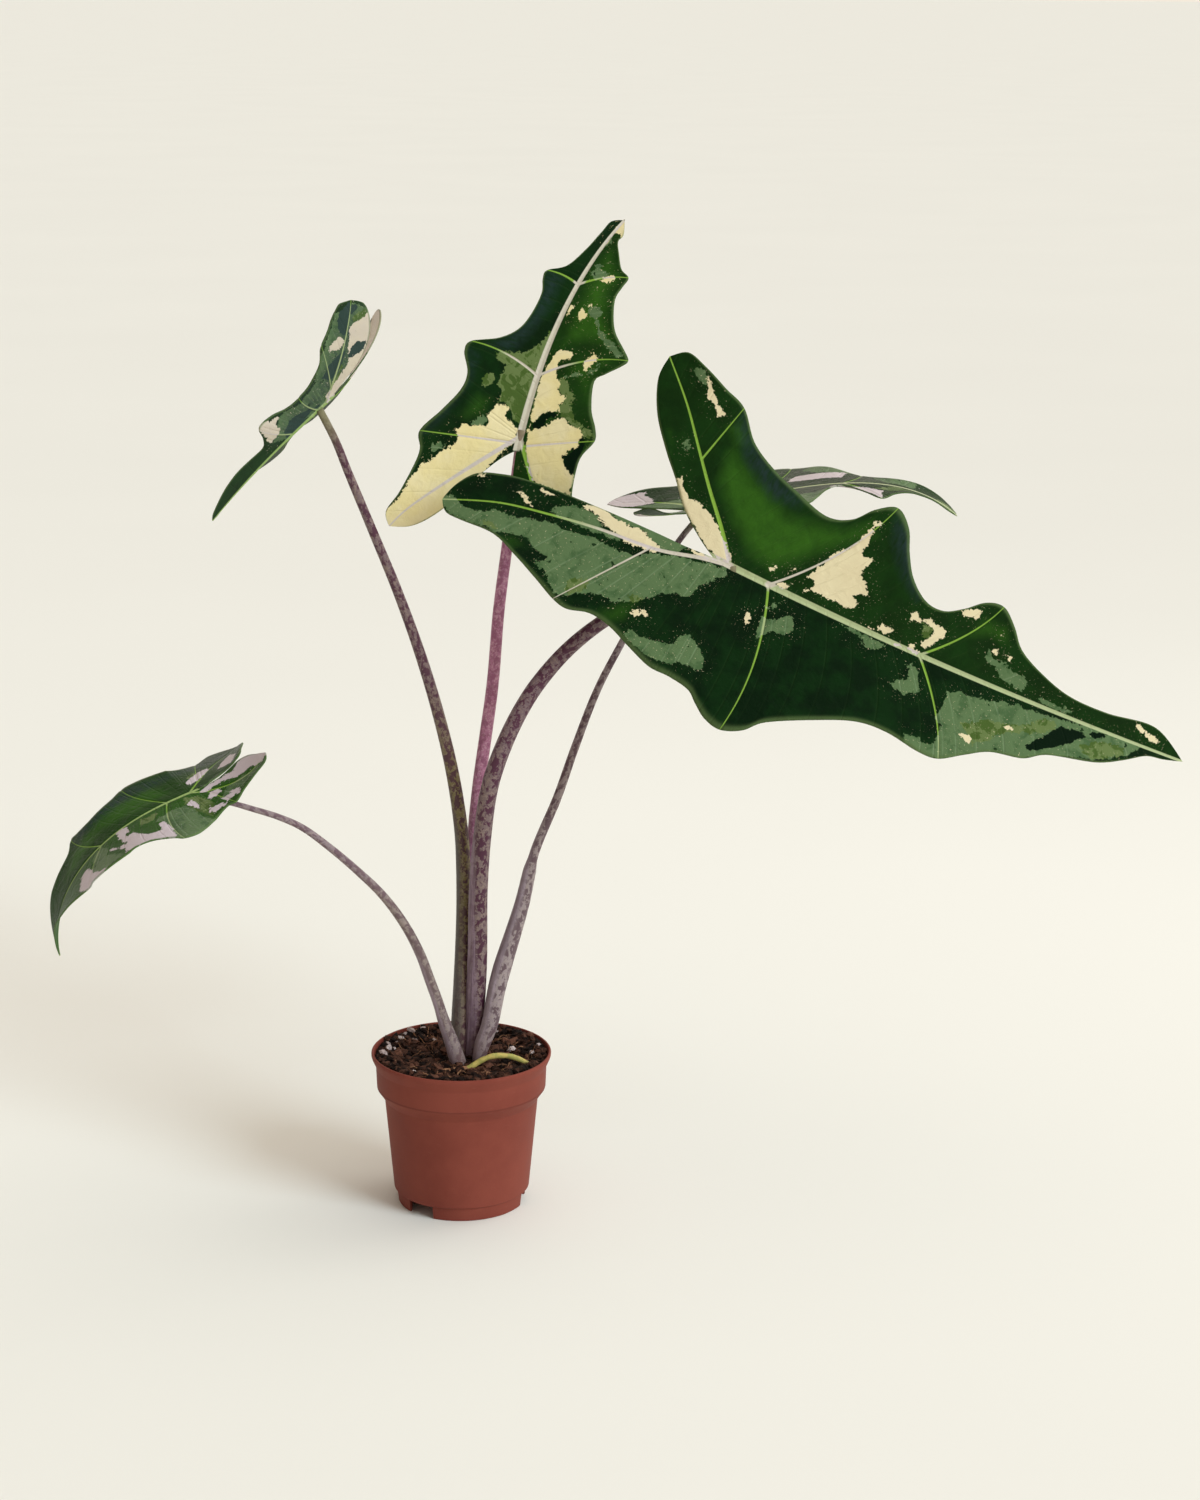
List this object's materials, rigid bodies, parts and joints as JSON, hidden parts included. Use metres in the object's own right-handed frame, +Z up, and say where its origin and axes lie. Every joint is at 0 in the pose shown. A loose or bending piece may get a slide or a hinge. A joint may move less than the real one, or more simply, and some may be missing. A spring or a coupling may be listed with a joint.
{
  "type": "potted variegated alocasia",
  "caption": "House plant with long arrow-shaped, wave-edged, cream-splashed green leaves on slim mottled stalks in a terracotta-coloured plastic nursery pot.",
  "frame": {"origin": "on the floor under the middle of the pot", "axes": "+Z up along the pot, +X towards the tip of the large leaf, -Y towards the side that the picture shows"},
  "size_m": [0.7217, 0.2691, 0.6473],
  "materials": {
    "pot": "brick-coloured injection moulded plastic, satin",
    "soil": "loose dark potting mix with fibres and white grit",
    "corm": "dry papery brown skin",
    "petiole": "smooth mauve brown skin with dark mottling",
    "blade": "glossy dark green leaf with cream and grey-green sectors",
    "root": "smooth yellow-green root"
  },
  "bodies": {
    "root": {"pot": "pot", "soil": "soil", "corm": "corm", "petiole_large": "petiole", "petiole_left_upper": "petiole", "petiole_back": "petiole", "petiole_upright": "petiole", "petiole_low": "petiole", "blade_large": "blade", "blade_left_upper": "blade", "blade_back": "blade", "blade_upright": "blade", "blade_low": "blade", "surface_root": "root"}
  },
  "joints": []
}
